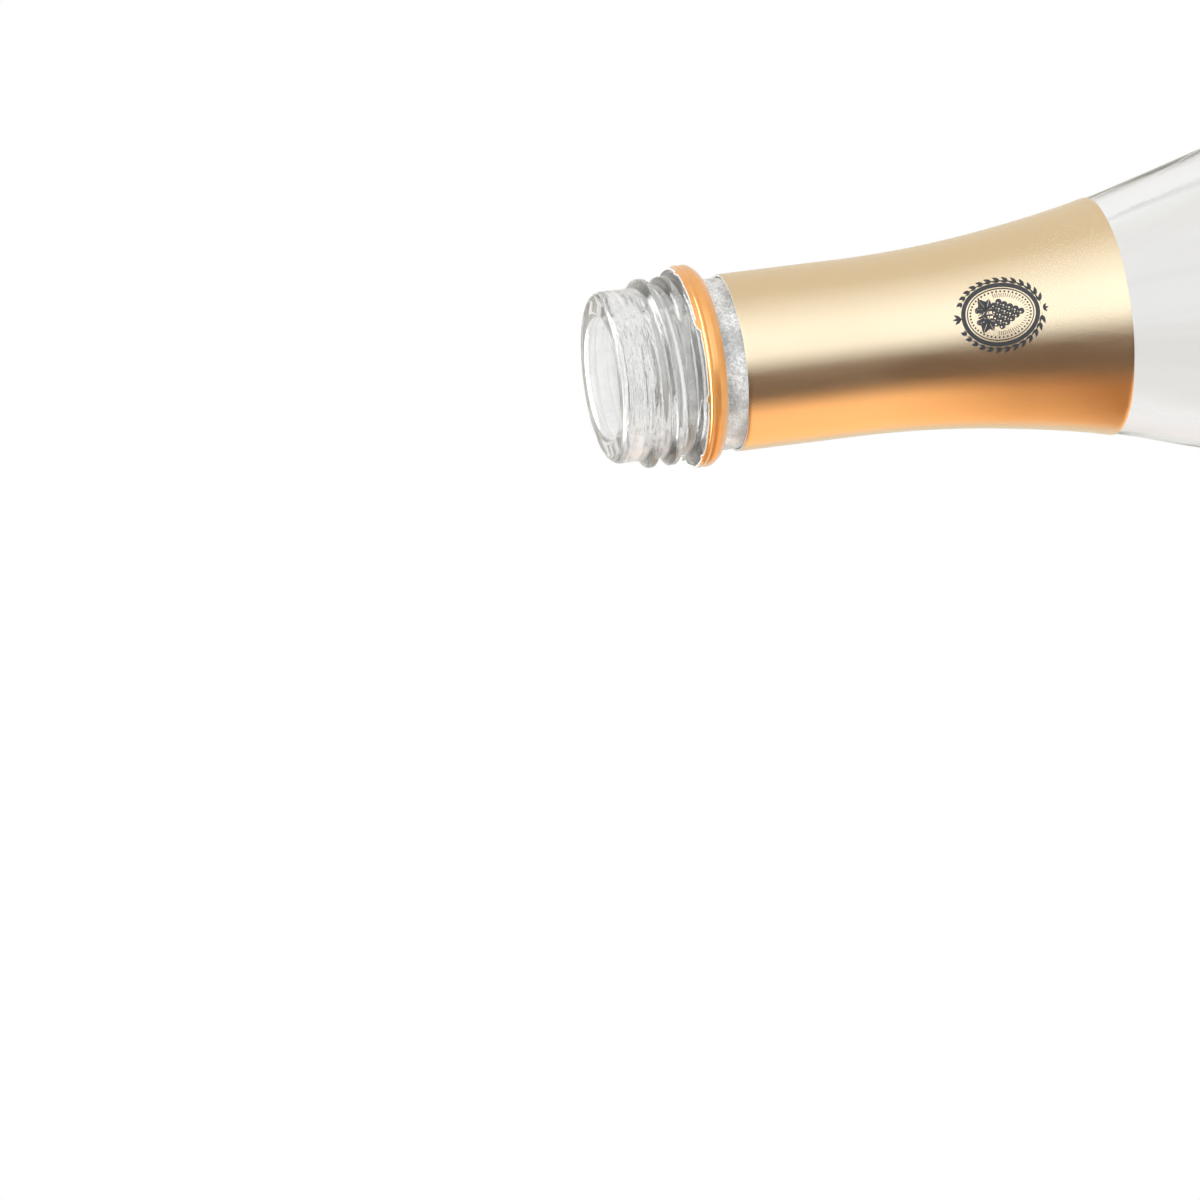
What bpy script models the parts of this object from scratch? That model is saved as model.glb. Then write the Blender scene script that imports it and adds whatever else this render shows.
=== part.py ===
"""A 750 ml sparkling wine bottle with a screw finish, opened, standing upright on its base.

Metres, +Z up. The bottle's axis is the Z axis and its bearing ring stands on Z = 0. The front is -Y.
"""

import math

import bmesh
import bpy
from mathutils import Matrix, Vector

# Overall sizes of the glass
BOTTLE_HEIGHT = 0.300
BODY_RADIUS = 0.042
NECK_RADIUS = 0.0126
GLASS_WALL = 0.0037

# Shoulder: a hollow curve widens the neck into a straight slope, and a round curve ends it at the body
FLARE_DROP = 0.0368  # from the lip down to where the neck begins to widen
FLARE_RADIUS = 0.160
SLOPE_ANGLE = math.radians(16)
SHOULDER_RADIUS = 0.120

# Base: heel, flat bearing ring and punt
HEEL_RADIUS = 0.008
BEARING_WIDTH = 0.003
PUNT_DEPTH = 0.024
BASE_THICKNESS = 0.0050
INNER_HEEL_RADIUS = 0.004

# Finish of the mouth, from the lip down: plain lip, thread, locking bead, bare neck
LIP_HEIGHT = 0.0050  # from the lip down to the middle of the thread's upper end
THREAD_PITCH = 0.003175  # eight threads to the inch
THREAD_TURNS = 1.9
THREAD_DEPTH = 0.0012
THREAD_BASE_WIDTH = 0.0024
THREAD_CREST_WIDTH = 0.0008
THREAD_BURIED = 0.0005  # how far the ridge's foot lies inside the wall
BEAD_PROUD = 0.0015
BEAD_SLOPE = 0.0007
BEAD_LAND = 0.0020
BEAD_UNDERCUT = 0.0014
BARE_NECK = 0.0038  # from the bead's undercut down to the foil

# Tamper band: the ring that the screw cap leaves behind, tucked in under the bead
BAND_WALL = 0.0003
BAND_DROP = 0.0003  # from the bead's upper edge down to the band's
BAND_SKIRT = 0.0023  # from the band's upper edge down to where it turns in
BAND_TUCK = 0.0012  # height of the turned-in part
BAND_TUCK_DEPTH = 0.0010
BRIDGE_COUNT = 8
BRIDGE_HEIGHT = 0.0004  # what is left of each torn bridge

# Neck foil: a metallised sleeve that is glued round the neck
FOIL_LENGTH = 0.0568
FOIL_THICKNESS = 0.0002

# Paper labels on the straight part of the body
LABEL_THICKNESS = 0.00025
LABEL_MARGIN = 0.018  # bare glass above and below each label
LABEL_CORNER_RADIUS = 0.002
FRONT_LABEL_WIDTH = 0.088
BACK_LABEL_WIDTH = 0.062

# Wine, standing level
FILL_DROP = 0.186  # from the lip down to the wine, of which about 440 ml is left

# Clearance between pieces that touch
FIT_GAP = 0.0003

# Fineness of the round shapes
SEGMENTS = 48
FLARE_RINGS = 8
SLOPE_RINGS = 2
SHOULDER_RINGS = 6
FOIL_RINGS = 9
HEEL_STEPS = 4
PUNT_STEPS = 6
LIP_STEPS = 3
LABEL_STEPS = 14
CORNER_STEPS = 3
SMOOTH_BELOW = math.radians(40)

# Shares and angles
LIP_OUTER_EDGE_SHARE = 0.36  # rounding of the lip, as a share of its wall
LIP_INNER_EDGE_SHARE = 0.26
THREAD_FADE_SHARE = 0.09  # share of the thread's length over which each end runs out
THREAD_START_ANGLE = math.radians(-90)
BAND_BULGE_SHARE = 0.5  # how far the band's wall swells, as a share of its thickness
BAND_BULGE_HEIGHT_SHARE = 0.35  # where it swells most, down its skirt
BAND_TURN_SHARE = 0.33  # how much of its inward turn is done halfway down its tuck

# Places that follow from the sizes above
BORE_RADIUS = NECK_RADIUS - GLASS_WALL
BEAD_RADIUS = NECK_RADIUS + BEAD_PROUD
THREAD_TOP = BOTTLE_HEIGHT - LIP_HEIGHT
THREAD_BOTTOM = THREAD_TOP - THREAD_PITCH * THREAD_TURNS
BEAD_TOP = THREAD_BOTTOM - BEAD_SLOPE
BEAD_BOTTOM = BEAD_TOP - BEAD_LAND
NECK_TOP = BEAD_BOTTOM - BEAD_UNDERCUT
FLARE_TOP = BOTTLE_HEIGHT - FLARE_DROP
SLOPE_TOP = FLARE_TOP - FLARE_RADIUS * math.sin(SLOPE_ANGLE)
SLOPE_TOP_RADIUS = NECK_RADIUS + FLARE_RADIUS * (1 - math.cos(SLOPE_ANGLE))
SLOPE_END_RADIUS = BODY_RADIUS - SHOULDER_RADIUS * (1 - math.cos(SLOPE_ANGLE))
SLOPE_BOTTOM = SLOPE_TOP - (SLOPE_END_RADIUS - SLOPE_TOP_RADIUS) / math.tan(SLOPE_ANGLE)
BODY_TOP = SLOPE_BOTTOM - SHOULDER_RADIUS * math.sin(SLOPE_ANGLE)
PUNT_RADIUS = BODY_RADIUS - HEEL_RADIUS - BEARING_WIDTH
DOME_RADIUS = (PUNT_RADIUS**2 + PUNT_DEPTH**2) / (2 * PUNT_DEPTH)
DOME_CENTRE = PUNT_DEPTH - DOME_RADIUS
FILL_HEIGHT = BOTTLE_HEIGHT - FILL_DROP
BAND_TOP = BEAD_TOP - BAND_DROP
FOIL_TOP = NECK_TOP - BARE_NECK
FOIL_BOTTOM = FOIL_TOP - FOIL_LENGTH
LABEL_BOTTOM = HEEL_RADIUS + LABEL_MARGIN
LABEL_TOP = BODY_TOP - LABEL_MARGIN


def remove_everything():
    for obj in list(bpy.data.objects):
        bpy.data.objects.remove(obj)


def material(name, colour, roughness, metallic=0.0, transmission=0.0, ior=1.5):
    """A Principled BSDF material."""
    made = bpy.data.materials.new(name)
    made.use_nodes = True
    shader = made.node_tree.nodes["Principled BSDF"]
    shader.inputs["Base Color"].default_value = (*colour, 1.0)
    shader.inputs["Roughness"].default_value = roughness
    shader.inputs["Metallic"].default_value = metallic
    shader.inputs["Transmission Weight"].default_value = transmission
    shader.inputs["IOR"].default_value = ior
    return made


def add_object(name, bm, finish):
    """Links the bmesh as a named object with outward faces, shaded smooth across its shallow edges."""
    bmesh.ops.recalc_face_normals(bm, faces=bm.faces)
    mesh = bpy.data.meshes.new(name)
    bm.to_mesh(mesh)
    bm.free()
    mesh.shade_smooth()
    mesh.set_sharp_from_angle(angle=SMOOTH_BELOW)
    mesh.materials.append(finish)
    obj = bpy.data.objects.new(name, mesh)
    bpy.context.scene.collection.objects.link(obj)
    return obj


def spread(start, end, steps):
    """Evenly spaced values from start to end, both included."""
    return [start + (end - start) * i / steps for i in range(steps + 1)]


def arc(centre, radius, start, end, steps):
    """Points (radius, height) on an arc round centre, with angles from the outward direction."""
    return [
        (centre[0] + radius * math.cos(a), centre[1] + radius * math.sin(a))
        for a in spread(start, end, steps)
    ]


def turned(profile, closed):
    """A body turned round Z from points (radius, height). A closed profile gives a ring."""
    bm = bmesh.new()
    points = [bm.verts.new((r, 0.0, z)) for r, z in profile]
    pairs = zip(points, points[1:] + points[:1] if closed else points[1:])
    edges = [bm.edges.new(pair) for pair in pairs]
    bmesh.ops.spin(
        bm,
        geom=points + edges,
        axis=(0.0, 0.0, 1.0),
        cent=(0.0, 0.0, 0.0),
        angle=math.tau,
        steps=SEGMENTS,
        use_merge=True,
    )
    bmesh.ops.remove_doubles(bm, verts=bm.verts, dist=FIT_GAP / SEGMENTS)
    return bm


def wall_radius(height, inset):
    """Radius of the neck, flare, slope, shoulder and body at a height, inset from the outer face."""
    flare = FLARE_RADIUS + inset
    shoulder = SHOULDER_RADIUS - inset
    slope_top = SLOPE_TOP - inset * math.sin(SLOPE_ANGLE)
    slope_bottom = SLOPE_BOTTOM - inset * math.sin(SLOPE_ANGLE)
    if height >= FLARE_TOP:
        return NECK_RADIUS - inset
    if height >= slope_top:
        return NECK_RADIUS + FLARE_RADIUS - math.sqrt(flare**2 - (FLARE_TOP - height) ** 2)
    if height >= slope_bottom:
        across = SLOPE_TOP_RADIUS - inset * math.cos(SLOPE_ANGLE)
        return across + (slope_top - height) * math.tan(SLOPE_ANGLE)
    if height >= BODY_TOP:
        return BODY_RADIUS - SHOULDER_RADIUS + math.sqrt(shoulder**2 - (height - BODY_TOP) ** 2)
    return BODY_RADIUS - inset


def wall_points(top, inset):
    """The wall's profile from the top of the body up to a height, or at that height alone if it is lower."""
    shift = inset * math.sin(SLOPE_ANGLE)
    heights = spread(BODY_TOP, SLOPE_BOTTOM - shift, SHOULDER_RINGS)
    heights += spread(SLOPE_BOTTOM - shift, SLOPE_TOP - shift, SLOPE_RINGS)[1:]
    heights += spread(SLOPE_TOP - shift, FLARE_TOP, FLARE_RINGS)[1:]
    heights = [z for z in heights if z < top] + [top]
    return [(wall_radius(z, inset), z) for z in heights]


def cavity_floor(clearance):
    """The inside of the base, from the axis over the punt's dome and round the inner heel to the wall."""
    dome = DOME_RADIUS + BASE_THICKNESS + clearance
    fillet = INNER_HEEL_RADIUS - clearance
    middle = BODY_RADIUS - GLASS_WALL - INNER_HEEL_RADIUS
    reach = DOME_RADIUS + BASE_THICKNESS + INNER_HEEL_RADIUS
    height = DOME_CENTRE + math.sqrt(reach**2 - middle**2)
    meeting = math.atan2(height - DOME_CENTRE, middle)
    floor = arc((0.0, DOME_CENTRE), dome, math.pi / 2, meeting, PUNT_STEPS)
    heel = arc((middle, height), fillet, meeting - math.pi, 0.0, HEEL_STEPS)
    return [(0.0, floor[0][1])] + floor[1:] + heel[1:]


def base_points():
    """The outside of the base, from the axis over the punt, across the bearing ring and round the heel."""
    rim = math.atan2(-DOME_CENTRE, PUNT_RADIUS)
    punt = arc((0.0, DOME_CENTRE), DOME_RADIUS, math.pi / 2, rim, PUNT_STEPS)
    heel_centre = (BODY_RADIUS - HEEL_RADIUS, HEEL_RADIUS)
    heel = arc(heel_centre, HEEL_RADIUS, -math.pi / 2, 0.0, HEEL_STEPS)
    return [(0.0, PUNT_DEPTH)] + punt[1:-1] + [(PUNT_RADIUS, 0.0)] + heel


def finish_points():
    """The outside of the mouth from under the locking bead up over the lip into the bore."""
    outer_edge = GLASS_WALL * LIP_OUTER_EDGE_SHARE
    inner_edge = GLASS_WALL * LIP_INNER_EDGE_SHARE
    outer_centre = (NECK_RADIUS - outer_edge, BOTTLE_HEIGHT - outer_edge)
    inner_centre = (BORE_RADIUS + inner_edge, BOTTLE_HEIGHT - inner_edge)
    return [
        (BEAD_RADIUS, BEAD_BOTTOM),
        (BEAD_RADIUS, BEAD_TOP),
        (NECK_RADIUS, THREAD_BOTTOM),
        *arc(outer_centre, outer_edge, 0.0, math.pi / 2, LIP_STEPS),
        *arc(inner_centre, inner_edge, math.pi / 2, math.pi, LIP_STEPS),
    ]


def thread_ridge():
    """The thread as a ridge that climbs to the right, whose ends run out into the wall."""
    bm = bmesh.new()
    count = round(THREAD_TURNS * SEGMENTS)
    foot = NECK_RADIUS - THREAD_BURIED
    half_base = THREAD_BASE_WIDTH / 2
    half_crest = THREAD_CREST_WIDTH / 2
    rings = []
    for i in range(count + 1):
        along = i / count
        fade = min(1.0, along / THREAD_FADE_SHARE, (1 - along) / THREAD_FADE_SHARE)
        swell = THREAD_DEPTH * fade - THREAD_BURIED / 2 * (1 - fade)
        crest = NECK_RADIUS + swell
        middle = THREAD_BOTTOM + (THREAD_TOP - THREAD_BOTTOM) * along
        turn = Matrix.Rotation(THREAD_START_ANGLE + math.tau * THREAD_TURNS * along, 3, "Z")
        section = [
            (foot, middle - half_base),
            (crest, middle - half_crest),
            (crest, middle + half_crest),
            (foot, middle + half_base),
        ]
        rings.append([bm.verts.new(turn @ Vector((r, 0.0, z))) for r, z in section])
    for ring, following in zip(rings, rings[1:]):
        for k in range(len(ring)):
            nxt = (k + 1) % len(ring)
            bm.faces.new((ring[k], ring[nxt], following[nxt], following[k]))
    bm.faces.new(rings[0])
    bm.faces.new(rings[-1])
    return bm


def build_bottle_glass(finish):
    """The moulded glass: punt, heel, body, shoulder, neck and threaded mouth in one piece."""
    outside = base_points() + wall_points(NECK_TOP, 0.0) + finish_points()
    inside = cavity_floor(0.0) + wall_points(NECK_TOP, GLASS_WALL)
    glass = add_object("bottle_glass", turned(outside + inside[::-1], closed=False), finish)
    ridge = add_object("thread_ridge", thread_ridge(), finish)
    ridge.hide_render = True
    ridge.display_type = "WIRE"
    union = glass.modifiers.new("thread", "BOOLEAN")
    union.operation = "UNION"
    union.solver = "EXACT"
    union.object = ridge
    return glass


def build_wine(finish):
    """The wine up to its level, clear of the glass all round."""
    inset = GLASS_WALL + FIT_GAP
    profile = cavity_floor(FIT_GAP) + wall_points(FILL_HEIGHT, inset)
    return add_object("wine", turned(profile + [(0.0, FILL_HEIGHT)], closed=False), finish)


def build_tamper_band(finish):
    """The aluminium band round the locking bead. Its origin is on the neck's axis, at its upper edge."""
    inner = BEAD_RADIUS + FIT_GAP
    bulge = BAND_WALL * BAND_BULGE_SHARE
    inside = [
        (inner, 0.0),
        (inner + bulge, -BAND_SKIRT * BAND_BULGE_HEIGHT_SHARE),
        (inner, -BAND_SKIRT),
        (inner - BAND_TUCK_DEPTH * BAND_TURN_SHARE, -BAND_SKIRT - BAND_TUCK / 2),
        (inner - BAND_TUCK_DEPTH, -BAND_SKIRT - BAND_TUCK),
    ]
    outside = [(r + BAND_WALL, z) for r, z in reversed(inside)]
    bm = turned(inside + outside, closed=True)
    raise_bridges(bm)
    band = add_object("tamper_band", bm, finish)
    band.location = (0.0, 0.0, BAND_TOP)
    return band


def raise_bridges(bm):
    """Draws a stub up from the band's upper edge at each place where a bridge to the cap tore."""
    for i in range(BRIDGE_COUNT):
        angle = math.tau * (round(i * SEGMENTS / BRIDGE_COUNT) + 0.5) / SEGMENTS
        aim = Vector((math.cos(angle), math.sin(angle)))
        rim = [f for f in bm.faces if max(abs(v.co.z) for v in f.verts) < BAND_WALL / SEGMENTS]
        face = max(rim, key=lambda f: f.calc_center_median().xy.normalized().dot(aim))
        made = bmesh.ops.extrude_discrete_faces(bm, faces=[face])
        corners = {v for f in made["faces"] for v in f.verts}
        bmesh.ops.translate(bm, verts=list(corners), vec=(0.0, 0.0, BRIDGE_HEIGHT))


def build_neck_foil(finish):
    """The metallised sleeve that follows the neck and the start of the flare."""
    heights = spread(FOIL_BOTTOM, FOIL_TOP, FOIL_RINGS)
    inside = [(wall_radius(z, -FIT_GAP), z) for z in heights]
    outside = [(wall_radius(z, -FIT_GAP - FOIL_THICKNESS), z) for z in heights]
    return add_object("neck_foil", turned(inside + outside[::-1], closed=True), finish)


def build_label(name, width, facing, finish):
    """A paper label with round corners, bent round the body and centred on the angle it faces."""
    radius = BODY_RADIUS + FIT_GAP
    half = width / 2
    corner = min(LABEL_CORNER_RADIUS, half)
    bends = [corner * (1 - math.cos(a)) for a in spread(0.0, math.pi / 2, CORNER_STEPS)]
    places = [-half + b for b in bends]
    places += spread(-half + corner, half - corner, LABEL_STEPS)[1:-1]
    places += [half - b for b in reversed(bends)]
    bm = bmesh.new()
    columns = []
    for place in places:
        into = max(0.0, abs(place) - (half - corner))
        rounding = corner - math.sqrt(max(0.0, corner**2 - into**2))
        angle = facing + place / radius
        aim = Vector((math.cos(angle), math.sin(angle), 0.0))
        columns.append(
            [
                bm.verts.new(aim * r + Vector((0.0, 0.0, z)))
                for r in (radius, radius + LABEL_THICKNESS)
                for z in (LABEL_BOTTOM + rounding, LABEL_TOP - rounding)
            ]
        )
    for left, right in zip(columns, columns[1:]):
        for a, b in ((0, 1), (1, 3), (3, 2), (2, 0)):
            bm.faces.new((left[a], left[b], right[b], right[a]))
    for end in (columns[0], columns[-1]):
        bm.faces.new((end[0], end[1], end[3], end[2]))
    return add_object(name, bm, finish)


def main():
    remove_everything()
    clear_glass = material("clear_glass", (0.93, 0.95, 0.94), 0.02, transmission=1.0)
    pale_wine = material("pale_wine", (0.98, 0.86, 0.70), 0.0, transmission=1.0, ior=1.34)
    gold_band = material("gold_band", (0.85, 0.48, 0.16), 0.28, metallic=1.0)
    satin_gold = material("satin_gold", (0.86, 0.66, 0.42), 0.32, metallic=1.0)
    label_paper = material("label_paper", (0.93, 0.91, 0.86), 0.7)
    build_bottle_glass(clear_glass)
    build_wine(pale_wine)
    build_tamper_band(gold_band)
    build_neck_foil(satin_gold)
    build_label("front_label", FRONT_LABEL_WIDTH, math.radians(-90), label_paper)
    build_label("back_label", BACK_LABEL_WIDTH, math.radians(90), label_paper)


main()
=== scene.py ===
"""The looks of an opened 750 ml bottle of sparkling wine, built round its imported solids.

Metres, +Z up. The bottle's axis is the Z axis, it stands on Z = 0, and its front faces -Y.
Azimuths are seen from above: 0 is the front, -Y, and 90 degrees is +X.
"""

import math
import random

import bpy
import numpy as np
from mathutils import Matrix, Vector

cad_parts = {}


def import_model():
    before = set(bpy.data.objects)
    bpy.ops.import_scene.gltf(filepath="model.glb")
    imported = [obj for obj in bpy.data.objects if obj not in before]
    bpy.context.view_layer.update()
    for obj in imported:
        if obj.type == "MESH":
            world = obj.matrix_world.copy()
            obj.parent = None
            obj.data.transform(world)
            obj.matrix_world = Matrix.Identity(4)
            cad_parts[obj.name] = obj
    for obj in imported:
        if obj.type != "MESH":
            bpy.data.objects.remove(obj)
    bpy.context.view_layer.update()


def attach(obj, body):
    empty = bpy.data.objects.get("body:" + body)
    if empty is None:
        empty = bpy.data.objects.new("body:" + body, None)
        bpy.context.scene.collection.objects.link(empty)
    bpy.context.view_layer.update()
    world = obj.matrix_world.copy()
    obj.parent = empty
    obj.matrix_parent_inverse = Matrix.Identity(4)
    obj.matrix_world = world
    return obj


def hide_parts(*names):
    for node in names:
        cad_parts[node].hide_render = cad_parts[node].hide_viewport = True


MM = 0.001

# Sizes of the glass, as in the solids
BOTTLE_HEIGHT = 0.300
BODY_RADIUS = 0.042
NECK_RADIUS = 0.0126
GLASS_WALL = 0.0037
FLARE_TOP = 0.2632
FLARE_RADIUS = 0.160
SLOPE_ANGLE = math.radians(16)
SHOULDER_RADIUS = 0.120
HEEL_RADIUS = 0.008
BEARING_WIDTH = 0.003
PUNT_DEPTH = 0.024
BASE_THICKNESS = 0.0050
INNER_HEEL_RADIUS = 0.004

# Finish of the mouth
LIP_HEIGHT = 0.0050
LIP_OUTER_EDGE = 0.00133
LIP_INNER_EDGE = 0.00096
THREAD_PITCH = 0.003175
THREAD_TURNS = 1.9
THREAD_DEPTH = 0.0012
THREAD_BASE_WIDTH = 0.0024
THREAD_CREST_WIDTH = 0.0006
THREAD_FADE_SHARE = 0.09
THREAD_START = math.radians(-90)  # angle from +X, counter-clockwise
BEAD_PROUD = 0.0015
BEAD_SLOPE = 0.0007
BEAD_LAND = 0.0020
BEAD_UNDERCUT = 0.0014
BEAD_ROUNDING = 0.0007

# Tamper band, foil, labels and wine
BAND_DROP = 0.0003
BAND_HEIGHT = 0.0035
BAND_WALL = 0.00024
BAND_SHIFT = 0.00020  # the loose ring hangs to one side
BRIDGE_COUNT = 8
FOIL_LENGTH = 0.0568
BARE_NECK = 0.0038
LABEL_BOTTOM = 0.026
LABEL_TOP = 0.1033
LABEL_CORNER = 0.002
FRONT_LABEL_WIDTH = 0.088
BACK_LABEL_WIDTH = 0.062
LABEL_INNER = BODY_RADIUS + 0.00006
LABEL_OUTER = BODY_RADIUS + 0.00048
FILL_HEIGHT = 0.114
WINE_OVERLAP = 0.00004  # the wine wets the glass, so their faces don't part

# Places that follow from the sizes
BORE_RADIUS = NECK_RADIUS - GLASS_WALL
BEAD_RADIUS = NECK_RADIUS + BEAD_PROUD
THREAD_TOP = BOTTLE_HEIGHT - LIP_HEIGHT
THREAD_BOTTOM = THREAD_TOP - THREAD_PITCH * THREAD_TURNS
BEAD_TOP = THREAD_BOTTOM - BEAD_SLOPE
BEAD_BOTTOM = BEAD_TOP - BEAD_LAND
NECK_TOP = BEAD_BOTTOM - BEAD_UNDERCUT
SLOPE_TOP = FLARE_TOP - FLARE_RADIUS * math.sin(SLOPE_ANGLE)
SLOPE_TOP_RADIUS = NECK_RADIUS + FLARE_RADIUS * (1 - math.cos(SLOPE_ANGLE))
SLOPE_END_RADIUS = BODY_RADIUS - SHOULDER_RADIUS * (1 - math.cos(SLOPE_ANGLE))
SLOPE_BOTTOM = SLOPE_TOP - (SLOPE_END_RADIUS - SLOPE_TOP_RADIUS) / math.tan(SLOPE_ANGLE)
BODY_TOP = SLOPE_BOTTOM - SHOULDER_RADIUS * math.sin(SLOPE_ANGLE)
PUNT_RADIUS = BODY_RADIUS - HEEL_RADIUS - BEARING_WIDTH
DOME_RADIUS = (PUNT_RADIUS**2 + PUNT_DEPTH**2) / (2 * PUNT_DEPTH)
DOME_CENTRE = PUNT_DEPTH - DOME_RADIUS
BAND_TOP = BEAD_TOP - BAND_DROP
FOIL_TOP = NECK_TOP - BARE_NECK
FOIL_BOTTOM = FOIL_TOP - FOIL_LENGTH

# Mould seams of the glass, on both sides
SEAM_AZIMUTH = math.radians(-16)
SEAM_HEIGHT = 0.00008
SEAM_WIDTH = 0.0003

# Middle of the emblem on the foil, and the foil's lap at the back
EMBLEM_HEIGHT = 0.2430
LAP_HALF = math.radians(9)  # half the turn that the lap covers
LAP_STEP = math.radians(0.8)

# Fineness
COLUMNS = 160

# Share of the glass's Transmission Weight that mist takes in the neck and on the mouth, how far below
# the foil's top the neck's mist starts, and the glass's tint when clear and where wine has wetted it
NECK_MIST = 0.42
MOUTH_MIST = 0.08
MIST_REACH = 0.040
CLEAR_TINT = (0.968, 0.969, 0.962)
WET_TINT = (0.955, 0.950, 0.935)

# Light passes through many glass faces before it leaves the bottle
LIGHT_BOUNCES = 32

# Camera: a long lens, level with the neck, turned so that the bottle lies across the picture
FOCAL_PIXELS = 12000
PICTURE_PIXELS = 1200
LIP_PIXEL = (601.70, 378.66)
LIP_DISTANCE = 1.7458
AXIS_TILT = math.radians(13.6)  # how far the base leans away from the camera
AXIS_ROLL = math.radians(7.412)  # how far the axis climbs to the right
FRONT_TURN = math.radians(8.6)  # how far the front is turned up from facing the camera


# Numbers


def smooth(x):
    """0 below 0, 1 above 1, and an even rise between."""
    x = np.clip(x, 0.0, 1.0)
    return x * x * (3 - 2 * x)


def aim(azimuth):
    """Unit vector that points at an azimuth."""
    return Vector((math.sin(azimuth), -math.cos(azimuth), 0.0))


def off_azimuth(theta, azimuth):
    """How far an angle from +X lies from an azimuth, from -pi to pi."""
    turned = theta + math.pi / 2 - azimuth
    return (turned + math.pi) % math.tau - math.pi


def arc(centre, radius, start, end, steps):
    """Points (radius, height) on an arc round centre, with angles from the outward direction."""
    angles = np.linspace(start, end, steps + 1)
    return np.stack((centre[0] + radius * np.cos(angles), centre[1] + radius * np.sin(angles)), 1)


def soften(points, reach, steps=6):
    """Rounds the inner corners of a line of points."""
    points = [np.array(p, float) for p in points]
    made = [points[0]]
    for before, corner, after in zip(points, points[1:], points[2:]):
        back = before - corner
        ahead = after - corner
        start = corner + back * min(0.5, reach / np.linalg.norm(back))
        end = corner + ahead * min(0.5, reach / np.linalg.norm(ahead))
        for t in np.linspace(0, 1, steps + 1):
            made.append(start * (1 - t) ** 2 + corner * 2 * t * (1 - t) + end * t * t)
    made.append(points[-1])
    return np.array(made)


def divide(points, spacing):
    """The same line with points at most spacing apart."""
    made = [points[0]]
    for a, b in zip(points, points[1:]):
        count = max(1, math.ceil(np.linalg.norm(b - a) / spacing))
        made += [a + (b - a) * i / count for i in range(1, count + 1)]
    return np.array(made)


def ripple(theta, z, waves):
    """A sum of slow waves, each given as (size, turns round the axis, length along it, phase)."""
    total = 0.0
    for size, turns, length, phase in waves:
        total = total + size * np.sin(turns * theta + math.tau * z / length + phase)
    return total


# Meshes


def add_piece(name, verts, faces, materials, indices=None, sharp=40):
    """Links a mesh made of arrays, shaded smooth across its shallow edges."""
    mesh = bpy.data.meshes.new(name)
    mesh.from_pydata(np.asarray(verts).tolist(), [], faces)
    mesh.shade_smooth()
    mesh.set_sharp_from_angle(angle=math.radians(sharp))
    for finish in materials:
        mesh.materials.append(finish)
    if indices is not None:
        mesh.polygons.foreach_set("material_index", indices)
    mesh.update()
    piece = bpy.data.objects.new(name, mesh)
    bpy.context.scene.collection.objects.link(piece)
    return piece


def skin(grid, closed):
    """Vertices and faces over rows of points round the axis.

    A closed skin joins its last row to its first. An open one ends in a point on the axis at each end.
    """
    rows, cols = grid.shape[:2]
    verts = grid.reshape(-1, 3).tolist()
    faces = []
    for r in range(rows if closed else rows - 1):
        low = r * cols
        high = (r + 1) % rows * cols
        for c in range(cols):
            n = (c + 1) % cols
            faces.append((low + c, low + n, high + n, high + c))
    if not closed:
        first = len(verts)
        verts.append((0.0, 0.0, float(grid[0, :, 2].mean())))
        verts.append((0.0, 0.0, float(grid[-1, :, 2].mean())))
        last = (rows - 1) * cols
        for c in range(cols):
            n = (c + 1) % cols
            faces.append((first, n, c))
            faces.append((first + 1, last + c, last + n))
    return verts, faces


def angles():
    """Angles from +X of the columns of every turned skin."""
    return np.linspace(0, math.tau, COLUMNS, endpoint=False)[None, :]


def placed(r, theta, z):
    """Grid of points from radii, angles and heights."""
    r, theta, z = np.broadcast_arrays(r, theta, z)
    return np.stack((r * np.cos(theta), r * np.sin(theta), z), 2)


# The glass's shape


def wall_radius(height, inset):
    """Radius of the neck, flare, slope, shoulder and body at a height, inset from the outer face."""
    flare = FLARE_RADIUS + inset
    shoulder = SHOULDER_RADIUS - inset
    slope_top = SLOPE_TOP - inset * math.sin(SLOPE_ANGLE)
    slope_bottom = SLOPE_BOTTOM - inset * math.sin(SLOPE_ANGLE)
    if height >= FLARE_TOP:
        return NECK_RADIUS - inset
    if height >= slope_top:
        return NECK_RADIUS + FLARE_RADIUS - math.sqrt(flare**2 - (FLARE_TOP - height) ** 2)
    if height >= slope_bottom:
        across = SLOPE_TOP_RADIUS - inset * math.cos(SLOPE_ANGLE)
        return across + (slope_top - height) * math.tan(SLOPE_ANGLE)
    if height >= BODY_TOP:
        return BODY_RADIUS - SHOULDER_RADIUS + math.sqrt(shoulder**2 - (height - BODY_TOP) ** 2)
    return BODY_RADIUS - inset


def wall(start, end, spacing, inset):
    """Points along the wall between two heights, in that order."""
    steps = max(1, round(abs(end - start) / spacing))
    return np.array([(wall_radius(z, inset), z) for z in np.linspace(start, end, steps + 1)])


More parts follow.
